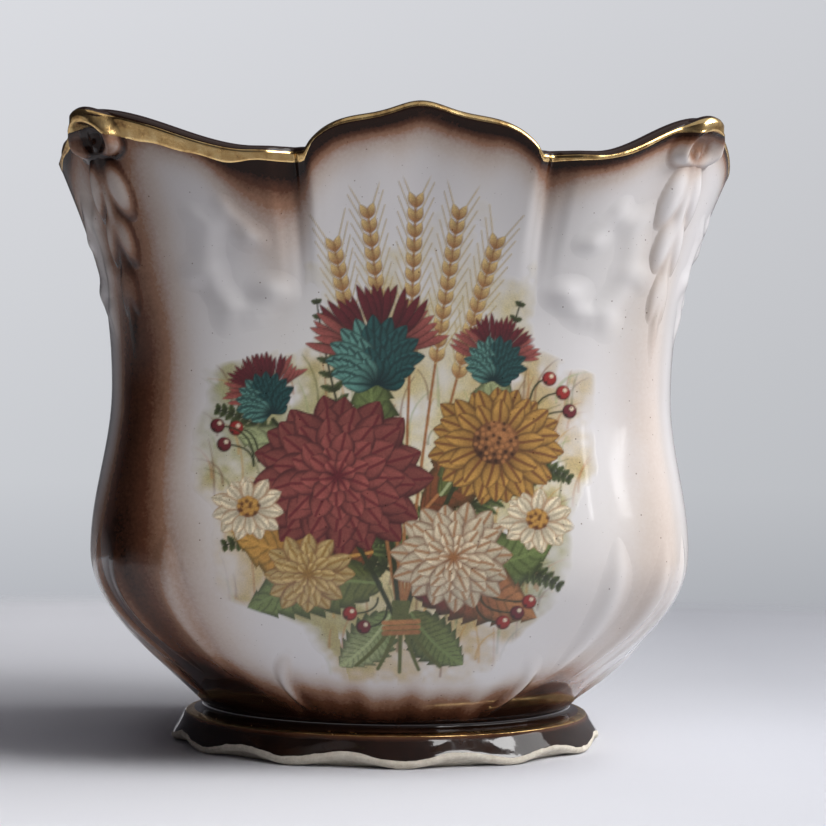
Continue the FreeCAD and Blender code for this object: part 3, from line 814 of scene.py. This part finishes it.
class Film:
    """Ink colour and cover on a grid of points."""

    def __init__(self, across, up, seed):
        self.x, self.z = across, up
        self.ink = np.zeros(across.shape + (3,))
        self.cover = np.zeros(across.shape)
        self.random = np.random.default_rng(seed)
        self.cloud = sum(self.noise(size) * share for size, share in CLOUDS)
        self.grain = self.noise(GRAIN_SIZE)

    def noise(self, size):
        """Smooth noise from -1 to 1 with features of a size in millimetres."""
        knots = self.random.uniform(-1, 1, (KNOTS, KNOTS))
        c, s = math.cos(size), math.sin(size)
        px = (self.x * c + self.z * s) / size % (KNOTS - 2)
        pz = (self.z * c - self.x * s) / size % (KNOTS - 2)
        ix, iz = px.astype(int), pz.astype(int)
        fx, fz = smooth(px - ix), smooth(pz - iz)
        low = knots[iz, ix] * (1 - fx) + knots[iz, ix + 1] * fx
        high = knots[iz + 1, ix] * (1 - fx) + knots[iz + 1, ix + 1] * fx
        return low * (1 - fz) + high * fz

    def window(self, x, z, reach):
        """Rows and columns that can hold points within reach of a place."""
        close = (np.abs(self.x - x) < reach) & (np.abs(self.z - z) < reach)
        rows, columns = np.where(close.any(axis=1))[0], np.where(close.any(axis=0))[0]
        if len(rows) == 0 or len(columns) == 0:
            return slice(0), slice(0)
        return slice(rows[0], rows[-1] + 1), slice(columns[0], columns[-1] + 1)

    def lay(self, spot, alpha, colour, grain=0.0):
        alpha = np.clip(alpha, 0, 1)[..., None]
        colour = colour * (1 + grain * self.grain[spot])[..., None]
        self.ink[spot] = self.ink[spot] * (1 - alpha) + colour * alpha
        self.cover[spot] = self.cover[spot] * (1 - alpha[..., 0]) + alpha[..., 0]

    def fade(self, share):
        self.ink *= share[..., None]
        self.cover *= share

    def wash(self, x, z, wide, high, colour, alpha):
        """Soft cloud of colour with an uneven edge."""
        spot = self.window(x, z, 1.6 * max(wide, high))
        far = np.hypot((self.x[spot] - x) / wide, (self.z[spot] - z) / high)
        self.lay(spot, alpha * smooth(WASH_EDGE - far + WASH_RAGGED * self.cloud[spot]), colour, 0.06)

    def stroke(self, path, width, colour, end_width, alpha=1.0):
        """Line through points that swells or thins to its end."""
        path = np.array(path, float)
        middle = path.mean(axis=0)
        spot = self.window(*middle, np.abs(path - middle).max() + width + 1)
        far, along = near(self.x[spot], self.z[spot], path)
        wide = width + (end_width - width) * along
        self.lay(spot, alpha * np.clip((wide / 2 - far) / LINE_SOFT + 0.5, 0, 1), colour, 0.12)

    def petal(self, x, z, turn, length, width, base, tip, edge, bend=0.0, widest=0.6, teeth=0, veins=0,
              rib=None):
        """Petal or leaf from a base point: pointed oval, shaded to its tip, with a darker edge and veins."""
        c, s = math.cos(turn), math.sin(turn)
        reach = 0.5 * length + width + abs(bend) * length + 2 * LINE_SOFT
        spot = self.window(x + 0.5 * length * c, z + 0.5 * length * s, reach)
        dx, dz = self.x[spot] - x, self.z[spot] - z
        u = (dx * c + dz * s) / length
        v = dz * c - dx * s - bend * length * 4 * u * (1 - u)
        inside = np.clip(u, 0, 1)
        wide = width * np.sin(np.pi * inside ** (math.log(0.5) / math.log(widest))) ** 0.8
        wide = wide * (1 - 0.22 * ((teeth * inside) % 1.0))
        side = v / np.maximum(wide, 0.05)
        mask = np.clip((wide - np.abs(v)) / PETAL_SOFT + 0.5, 0, 1) * (u > 0) * (u < 1)
        colour = base + (tip - base) * smooth(inside)[..., None]
        colour = colour * (1 + 0.18 * np.clip(side, -1, 1) + 0.10 * self.grain[spot])[..., None]
        rim = smooth((np.abs(side) - 0.55) / 0.45) * 0.75
        colour = colour + (edge - colour) * rim[..., None]
        if veins:
            lines = np.cos(2 * np.pi * (veins * inside - 0.9 * np.abs(side))) ** 10 * (1 - rim)
            colour = colour + (edge - colour) * (0.5 * lines)[..., None]
        if rib is not None:
            line = np.clip((0.32 - np.abs(v)) / 0.25 + 0.5, 0, 1)
            colour = colour + (rib - colour) * (0.8 * line)[..., None]
        self.lay(spot, mask, colour)

    def leaf(self, x, z, turn, length, width, dark, pale, bend):
        self.petal(x, z, turn, length, width, dark, pale, OLIVE_DARK * 0.8, bend, 0.45, 9, 7, pale * 1.15)

    def bloom(self, x, z, size, rings, base, tip, edge):
        """Many-petalled flower, outer petals first. A ring: count, reach and width as shares of the size."""
        for ring, (count, reach, width) in enumerate(rings):
            start = self.random.uniform(0, 2 * np.pi)
            for index in self.random.permutation(count):
                turn = start + 2 * np.pi * (index + self.random.uniform(-0.18, 0.18)) / count
                stretch = math.hypot(math.cos(turn), 0.86 * math.sin(turn))
                deep = 1 - 0.10 * (len(rings) - 1 - ring)
                length = size * reach * stretch * self.random.uniform(0.93, 1.05)
                bend = self.random.uniform(-0.05, 0.05)
                self.petal(x, z, turn, length, size * width, base * 0.62, tip * deep, edge, bend, 0.66,
                           rib=base * 0.8)

    def cone(self, x, z, wide, high, dark, pale):
        """Domed seed head, stippled."""
        spot = self.window(x, z, max(wide, high) + 1)
        across, up = (self.x[spot] - x) / wide, (self.z[spot] - z) / high
        shade = np.clip(0.9 - 0.6 * np.hypot(across - 0.25, up - 0.35), 0, 1)
        colour = dark + (pale - dark) * shade[..., None]
        self.lay(spot, np.clip((1 - np.hypot(across, up)) * min(wide, high) / LINE_SOFT, 0, 1), colour, 0.3)
        for index in range(int(9 * wide)):
            turn, reach = index * GOLDEN_TURN, 0.92 * math.sqrt((index + 0.5) / (9 * wide))
            tone = pale * 1.1 if index % 3 else dark * 0.5
            self.dot(x + wide * reach * math.cos(turn), z + high * reach * math.sin(turn), 0.42, tone, 0.75)

    def dot(self, x, z, radius, colour, alpha=1.0):
        spot = self.window(x, z, radius + 0.8)
        far = np.hypot(self.x[spot] - x, self.z[spot] - z)
        self.lay(spot, alpha * np.clip((radius - far) / LINE_SOFT + 0.5, 0, 1), colour)

    def berry(self, x, z, radius, colour):
        self.dot(x, z, radius, colour * 0.35)
        self.dot(x + 0.1 * radius, z + 0.1 * radius, radius * 0.82, colour)
        self.dot(x + 0.3 * radius, z + 0.35 * radius, radius * 0.28, CREAM, 0.8)
        self.dot(x - 0.45 * radius, z - 0.5 * radius, LINE_SOFT, UMBER)

    def thistle(self, x, z, size, lean):
        """Globe thistle: spiny crown over a scaly cup."""
        up = np.pi / 2 + lean
        for index in np.linspace(-1.0, 1.0, 25):
            length = size * self.random.uniform(1.2, 1.45)
            tip = WINE if abs(index) < 0.6 else ROSE
            bend = self.random.uniform(-0.06, 0.06)
            self.petal(x, z, up + index * 1.35, length, size * 0.09, WINE_DARK, tip, WINE_DARK, bend, 0.7)
        for row in range(5):
            back = 0.4 * (0.62 - 0.24 * row)
            bx, bz = x + size * (back - 0.1) * math.cos(up), z + size * (back * math.sin(up) - 0.42)
            for index in range(9):
                turn = up + (index - 4) * 0.36 + (0.18 if row % 2 else 0)
                tip = TEAL_LIGHT if index > 4 else TEAL
                length = size * (0.95 - 0.10 * row)
                self.petal(bx, bz, turn, length, size * 0.17, TEAL_DARK, tip, TEAL_DARK * 0.6, rib=TEAL_DARK)

    def frond(self, path, leaflets, size, dark, pale):
        """Fern frond along points, its leaflets shrinking to the tip."""
        self.stroke(path, 0.9, dark * 0.8, 0.35)
        for share in np.linspace(0.08, 0.985, leaflets):
            ahead = point_at(path, min(share + 0.03, 1.0)) - point_at(path, share - 0.02)
            turn = math.atan2(ahead[1], ahead[0])
            length = size * (1 - 0.82 * share) * (0.55 + 0.45 * min(1, share * 6))
            width = 0.19 * size * (1 - 0.55 * share)
            for hand in (-1, 1):
                self.petal(*point_at(path, share), turn + hand, length, width, dark, pale, dark * 0.7,
                           -hand * 0.06, 0.4, teeth=4, rib=dark)

    def wheat(self, path, grains, size, dark, pale):
        """Ear of wheat: a stalk with paired grains and awns at its top."""
        self.stroke(path, 0.75, dark, 0.5)
        turn = math.atan2(path[-1, 1] - path[-3, 1], path[-1, 0] - path[-3, 0])
        for share in np.linspace(0.64, 1.0, grains):
            px, pz = point_at(path, share)
            for hand in (-1, 1):
                lean = turn + hand * 0.42
                end = (px + 2.6 * size * math.cos(lean), pz + 2.6 * size * math.sin(lean))
                self.stroke([(px, pz), end], 0.4, pale * 0.75, 0.25, 0.8)
                self.petal(px, pz, lean, size, 0.26 * size, dark, pale, dark * 0.7, 0, 0.5)


def curve(start, middle, end, count=16):
    """Points on a bow from start to end that is drawn towards the middle point."""
    share = np.linspace(0, 1, count)[:, None]
    start, middle, end = (np.array(point, float) for point in (start, middle, end))
    return (1 - share) ** 2 * start + 2 * share * (1 - share) * middle + share ** 2 * end


# Places on the print, across from the middle and up. A wash: place, half sizes, colour, strength
WASHES = ((0, 86, 56, 28, MEADOW, 0.72), (0, 62, 48, 21, MEADOW, 0.72), (6, 112, 34, 18, MEADOW, 0.5),
          (4, 48, 28, 12, HAY, 0.55), (-32, 97, 18, 14, MOSS, 0.6), (34, 100, 17, 14, HAY, 0.6),
          (-31, 68, 17, 15, HAY, 0.6), (31, 66, 17, 15, MOSS, 0.65), (-14, 54, 18, 9, MOSS, 0.5),
          (20, 52, 14, 8, HAY, 0.5), (-6, 116, 16, 8, HAY, 0.4), (14, 128, 14, 12, MEADOW, 0.3))
GRASS_COUNT, GRASS_SIDE, GRASS_LOW, GRASS_HIGH, GRASS_SHORT, GRASS_LONG = 260, 41, 41, 104, 4, 12
GRASS_TINTS = (OCHRE, OLIVE, SAGE, TAN, CHESTNUT)
TIE, FROND_RISE, STALK_BOW, STALK_DROP, STEM_END = (2.0, 53.0), 12.0, 80.0, 6.0, 43.0
# A frond: its end, the point it bows to, the length of its leaflets
FRONDS = (((-38, 100), (-24, 98), 8.5), ((-36, 71), (-20, 76), 9), ((38, 86), (26, 94), 8.5),
          ((36, 63), (22, 72), 9), ((-17, 124), (-12, 92), 7.5), ((27, 124), (18, 92), 7.5))
EARS = (((-6, 141), (0, 100)), ((4, 143.5), (3, 100)), ((13, 141), (7, 100)), ((21, 135), (10, 98)),
        ((-13, 134), (-5, 96)))
# A leaf: its foot, turn, length, half width, colours, bend
LEAVES = ((-4, 70, 3.0, 31, 8.5, CHESTNUT, OCHRE, 0.10), (-2, 63, 3.35, 30, 8.0, OLIVE, LEAF_GREEN, -0.10),
          (6, 68, 0.16, 29, 8.5, OLIVE_DARK * 1.4, LEAF_GREEN, -0.10),
          (4, 62, -0.22, 28, 8.0, WINE, TAN, 0.10), (-2, 76, 2.6, 38, 8.0, OLIVE_DARK * 1.5, SAGE, -0.08),
          (6, 78, 0.6, 36, 8.0, CHESTNUT, TAN, 0.08), (0, 57, 4.0, 17, 6.0, LEAF_GREEN, SAGE, 0.06),
          (4, 57, -0.8, 17, 6.0, OLIVE, LEAF_GREEN, -0.06),
          (1, 80, 1.75, 34, 6.0, OLIVE_DARK * 1.3, LEAF_GREEN, 0.06),
          (10, 82, 1.15, 34, 6.0, OLIVE, SAGE, -0.06))
# A berry: its place, the foot of its stem, colour
BERRIES = ((-36.5, 92.5, -30, 88, WINE), (-34, 96, -29, 89, SCARLET), (-38, 96.5, -30, 88.5, WINE),
           (36.5, 104.5, 30, 98, SCARLET), (38, 100.5, 31, 97, WINE), (33.5, 107.5, 29, 99, SCARLET),
           (27, 57, 19, 61, WINE), (29.5, 59.5, 20, 62, SCARLET), (24, 54.8, 18, 60, SCARLET),
           (-9, 56.5, -3, 60, SCARLET), (-6, 53.5, -1, 58, WINE))
BERRY_RADIUS, STALKS = 1.6, ((-3, 106), (22, 106), (-26, 104))
THISTLES = ((-4, 112, 11.5, 0.06), (21.5, 111, 7.5, -0.15), (-27, 103, 7.2, 0.4))
SUN_RINGS = ((15, 1.0, 0.17), (15, 0.93, 0.16), (13, 0.75, 0.14))
DAHLIA_RINGS = ((17, 1.0, 0.19), (17, 0.88, 0.18), (15, 0.72, 0.16), (13, 0.55, 0.14), (9, 0.38, 0.11),
                (6, 0.22, 0.08))
ASTER_RINGS = ((15, 1.0, 0.19), (14, 0.85, 0.18), (12, 0.66, 0.15), (9, 0.45, 0.12), (6, 0.25, 0.08))
DAISY_RINGS = ((11, 1.0, 0.20), (10, 0.86, 0.18))
MUM_RINGS = ((12, 1.0, 0.19), (11, 0.82, 0.17), (9, 0.6, 0.14), (6, 0.34, 0.10))
DAISIES, STEM_SHIFTS, TIE_SHIFTS = ((31, 77), (-31, 79)), (-5, -2.5, 0, 2.2, 4.6), (-0.9, 0.3, 1.5)


def paint_ground(film):
    """Loose wash with blades of grass."""
    for wash in WASHES:
        film.wash(*wash)
    for index in range(GRASS_COUNT):
        x = film.random.uniform(-GRASS_SIDE, GRASS_SIDE)
        z = film.random.uniform(GRASS_LOW, GRASS_HIGH)
        lean = film.random.uniform(-0.5, 0.5) + x * 0.014
        length = film.random.uniform(GRASS_SHORT, GRASS_LONG)
        end = (x + math.sin(lean) * length, z + math.cos(lean) * length)
        tint = GRASS_TINTS[index % len(GRASS_TINTS)]
        film.stroke(curve((x, z), (x, z + 0.6 * length), end, 6), 0.6, tint, 0.25, 0.55)


def paint_posy(film):
    """A tied posy of autumn garden flowers, thistles, ferns and wheat."""
    for end, bow, size in FRONDS:
        film.frond(curve((TIE[0], TIE[1] + FROND_RISE), bow, end), 19, size, OLIVE_DARK, LEAF_GREEN)
    for end, bow in EARS:
        film.wheat(curve(TIE, bow, end, 20), 11, 3.6, TAN * 0.8, STRAW)
    for leaf in LEAVES:
        film.leaf(*leaf)
    for x, z, root_x, root_z, colour in BERRIES:
        film.stroke(curve((root_x, root_z), (root_x, z), (x, z), 8), 0.5, OLIVE_DARK, 0.4)
        film.berry(x, z, BERRY_RADIUS, colour)
    for x, z in STALKS:
        film.stroke(curve(TIE, (x * 0.4, STALK_BOW), (x, z - STALK_DROP)), 1.1, OLIVE_DARK, 0.9)
    for thistle in THISTLES:
        film.thistle(*thistle)
    film.bloom(22, 93, 15, SUN_RINGS, CHESTNUT, OCHRE, CHESTNUT_DARK)
    film.cone(22, 93.6, 5.2, 4.8, CHESTNUT_DARK * 0.7, TAN)
    film.bloom(-12, 86, 20, DAHLIA_RINGS, WINE, ROSE, WINE_DARK)
    film.bloom(13, 69, 13.5, ASTER_RINGS, TAN, CREAM, CHESTNUT)
    for x, z in DAISIES:
        film.bloom(x, z, 8, DAISY_RINGS, LINEN, CREAM, TAN * 0.8)
        film.cone(x, z + 0.3, 2.6, 2.4, CHESTNUT, OCHRE)
    film.bloom(-18, 65, 10, MUM_RINGS, OCHRE * 0.7, STRAW, CHESTNUT)
    x, z = TIE
    for shift in STEM_SHIFTS:
        end = (x + shift * 1.9, STEM_END + abs(shift) * 0.3)
        film.stroke(curve((x + shift * 0.3, z + 6), TIE, end), 1.2, OLIVE * 0.9, 0.8)
    for shift in TIE_SHIFTS:
        film.stroke([(x - 3.6, z + shift), (x + 3.8, z + shift + 0.4)], 1.0, TAN * (0.9 + 0.1 * shift), 1.0)


# Outline of the film: levels up the wall, and the angles it reaches to the left and to the right there
FILM_LEVELS = (21.5, 38.0, 45.0, 67.0, 75.0, 102.0, 109.0, 152.5)
FILM_LEFT = (-15.0, -18.0, -30.0, -31.0, -36.0, -36.0, -18.0, -18.0)
FILM_RIGHT = (22.0, 25.5, 30.0, 31.0, 36.0, 36.0, 25.5, 25.5)
FILM_COLUMNS, FILM_ROWS, FILM_RISE, FILM_SINK, FILM_CLEAR, FILM_THIN = 340, 400, 0.05, 0.02, 0.01, 0.1
GROUND_FADE, GROUND_RAGGED, FILM_FADE, FILM_END_FADE, FILM_COVER = 6.0, 0.45, 1.5, 3.0, 0.97
ART_SCALE, ART_TOP, ART_SEED = 1.16, 150.0, 11


def make_print(side):
    angle_of_side = 90 * SIDES.index(side)
    offset, run = np.meshgrid(np.linspace(min(FILM_LEFT), max(FILM_RIGHT), FILM_COLUMNS),
                              np.linspace(FILM_LEVELS[0], FILM_LEVELS[-1], FILM_ROWS))
    flat = shell(offset, run)
    film = Film(flat[..., 0] / ART_SCALE, ART_TOP - (ART_TOP - flat[..., 2]) / ART_SCALE, ART_SEED)
    fits = np.minimum(offset - np.interp(run, FILM_LEVELS, FILM_LEFT),
                      np.interp(run, FILM_LEVELS, FILM_RIGHT) - offset)
    ends = np.minimum(run - FILM_LEVELS[0], FILM_LEVELS[-1] - run)
    paint_ground(film)
    film.fade(smooth(fits / GROUND_FADE + GROUND_RAGGED * film.cloud))
    paint_posy(film)
    film.fade(FILM_COVER * smooth(fits / FILM_FADE) * smooth(ends / FILM_END_FADE))
    ink = np.clip(film.ink / np.maximum(film.cover, 1e-6)[..., None], 0, 1).reshape(-1, 3)
    angle = angle_of_side + offset
    rise = FILM_RISE * smooth(film.cover / FILM_THIN) - FILM_SINK
    points = shell(angle, run) + rise[..., None] * shell_normal(angle, run)
    faces = grid_faces(FILM_COLUMNS, FILM_ROWS, False, touching(film.cover > FILM_CLEAR))
    points, faces, (shade, cover, ink) = used_only(
        points.reshape(-1, 3), faces, [brown(angle, run).ravel(), film.cover.ravel(), ink])
    floats = {"brown": shade, "cover": cover}
    piece = make_mesh(f"print_{side}", points, faces, floats, {"ink": ink}, glaze_print)
    register(piece, "print", f"transfer_{side}")


make_print("front")
make_print("back")

# Studio and camera, in metres

CAMERA_DISTANCE, CAMERA_HEIGHT, CAMERA_AZIMUTH = 0.70, 0.096, -0.8
AIM_RIGHT, AIM_HEIGHT, LENS, SENSOR, ROLL = 0.0065, 0.0912, 109.0, 36.0, 0.7
FLOOR_RADIUS, FLOOR_RINGS, FLOOR_COLUMNS, FLOOR_BACK, FLOOR_BROAD = 0.41, 24, 128, 0.13, 1.7
FLOOR_FADE, FOLD_SHADE_STOPS = ((0.29, grey(0)), (0.39, grey(1))), ((0.3, grey(0.96)), (0.7, grey(1.0)))
FLOOR_STOPS = ((0.42, (0.87, 0.875, 0.92)), (0.58, (0.55, 0.56, 0.605)))
ROOM_STOPS = ((0.0, (0.020, 0.019, 0.022)), (0.3, (0.035, 0.033, 0.038)), (0.55, (0.12, 0.117, 0.132)),
              (0.85, (0.40, 0.40, 0.42)))
ROOM_FLOOR, BELOW_STOPS = (0.27, 0.26, 0.27), ((0.38, grey(1)), (0.5, grey(0)))
PAPER_STOPS = ((0.0, (0.43, 0.445, 0.48)), (0.22, (0.55, 0.565, 0.595)), (0.6, (0.61, 0.62, 0.65)),
               (1.0, (0.665, 0.675, 0.71)))
PAPER_STEEP, PAPER_LEVEL, PAPER_DIM = 4.0, 0.36, 0.42
# A lamp: azimuth from the front to the right, elevation, distance, width, height, power in watts
LAMP_AIM = Vector((0, 0, 0.09))
LAMPS = {"window_near": (34, 20.5, 1.3, 0.03, 0.44, 0.28), "window_far": (44.5, 20.5, 1.3, 0.03, 0.44, 0.24),
         "window_light": (57, 37, 0.62, 0.48, 0.26, 3.2), "softbox": (80, 46, 3.0, 2.6, 2.6, 54),
         "ceiling": (80, 84, 2.0, 2.0, 2.0, 4.5)}


def floor_cloth():
    """Pale cloth that turns clear towards its rim, and is paler where less light falls."""
    material, tree, shader = new_material("floor_cloth")
    position = tree.position()
    across = tree.add("SeparateXYZ", "X", {0: position})
    tone = tree.ramp(tree.math("ADD", across, 0.5), FLOOR_STOPS)
    # Painted shade of soft fold lines in the cloth: faint darker patches.
    fold_shade = tree.ramp(tree.noise(6), FOLD_SHADE_STOPS)
    tree.fill(shader, {"Base Color": tree.mix(1.0, tone, fold_shade, "MULTIPLY"), "Roughness": 0.9})
    distance = tree.add("VectorMath", "Value", {0: position}, operation="LENGTH")
    clear = tree.add("BsdfTransparent", 0, {})
    tree.finish("Material Output", tree.ramp(distance, FLOOR_FADE, True), shader.outputs[0], clear)
    return material


def make_floor():
    """Round pale table top whose rim melts into the backdrop. The pot stands near its front."""
    angles = np.arange(FLOOR_COLUMNS) * 360 / FLOOR_COLUMNS
    rows = [place(angles, FLOOR_RADIUS / MM * ring / FLOOR_RINGS, 0) for ring in range(FLOOR_RINGS, 0, -1)]
    faces = grid_faces(FLOOR_COLUMNS, FLOOR_RINGS, True)
    faces.append(range((FLOOR_RINGS - 1) * FLOOR_COLUMNS, FLOOR_RINGS * FLOOR_COLUMNS))
    floor = make_mesh("floor", np.concatenate(rows), faces, material=floor_cloth())
    floor.location.y, floor.scale.x = FLOOR_BACK, FLOOR_BROAD


def make_world():
    """Pale backdrop for the camera; for the light, a room that is bright on the right and dim on the left."""
    world = bpy.data.worlds.new("studio")
    bpy.context.scene.world = world
    tree = Tree(world)
    direction = tree.add("TexCoord", "Generated", {})
    across, up = (tree.add("SeparateXYZ", axis, {0: direction}) for axis in "XZ")
    light = tree.ramp(tree.math("ADD", tree.math("MULTIPLY", across, 0.5), 0.5), ROOM_STOPS)
    below = tree.ramp(tree.math("ADD", up, 0.5), BELOW_STOPS)
    room = tree.nodes["Background"]
    tree.fill(room, {"Color": tree.mix(below, light, ROOM_FLOOR)})
    level = tree.math("ADD", tree.math("MULTIPLY", up, PAPER_STEEP), PAPER_LEVEL)
    dim = tree.math("SUBTRACT", 1.0, tree.math("MULTIPLY", across, PAPER_DIM))
    backdrop = tree.add("Background", 0, {"Color": tree.ramp(level, PAPER_STOPS), "Strength": dim})
    camera_ray = tree.add("LightPath", "Is Camera Ray", {})
    tree.finish("World Output", camera_ray, room.outputs[0], backdrop)


def make_lamp(name, azimuth, elevation, distance, width, height, power):
    """Area lamp aimed at the pot."""
    data = bpy.data.lights.new(name, "AREA")
    data.shape = "RECTANGLE"
    data.size, data.size_y, data.energy = width, height, power
    lamp = bpy.data.objects.new(name, data)
    a, e = math.radians(azimuth), math.radians(elevation)
    away = Vector((math.sin(a) * math.cos(e), -math.cos(a) * math.cos(e), math.sin(e)))
    lamp.location = LAMP_AIM + away * distance
    lamp.rotation_mode = "QUATERNION"
    lamp.rotation_quaternion = (-away).to_track_quat("-Z", "Y")
    bpy.context.scene.collection.objects.link(lamp)


def make_camera():
    data = bpy.data.cameras.new("camera")
    data.lens, data.sensor_width = LENS, SENSOR
    camera = bpy.data.objects.new("camera", data)
    a = math.radians(CAMERA_AZIMUTH)
    camera.location = (CAMERA_DISTANCE * math.sin(a), -CAMERA_DISTANCE * math.cos(a), CAMERA_HEIGHT)
    aim = Vector((AIM_RIGHT * math.cos(a), AIM_RIGHT * math.sin(a), AIM_HEIGHT))
    camera.rotation_mode = "QUATERNION"
    look = (aim - camera.location).to_track_quat("-Z", "Y")
    camera.rotation_quaternion = look @ Quaternion((0, 0, 1), math.radians(ROLL))
    bpy.context.scene.collection.objects.link(camera)
    bpy.context.scene.camera = camera


make_floor()
make_world()
for lamp_name, lamp_values in LAMPS.items():
    make_lamp(lamp_name, *lamp_values)
make_camera()
bpy.context.scene.view_settings.view_transform = "Standard"
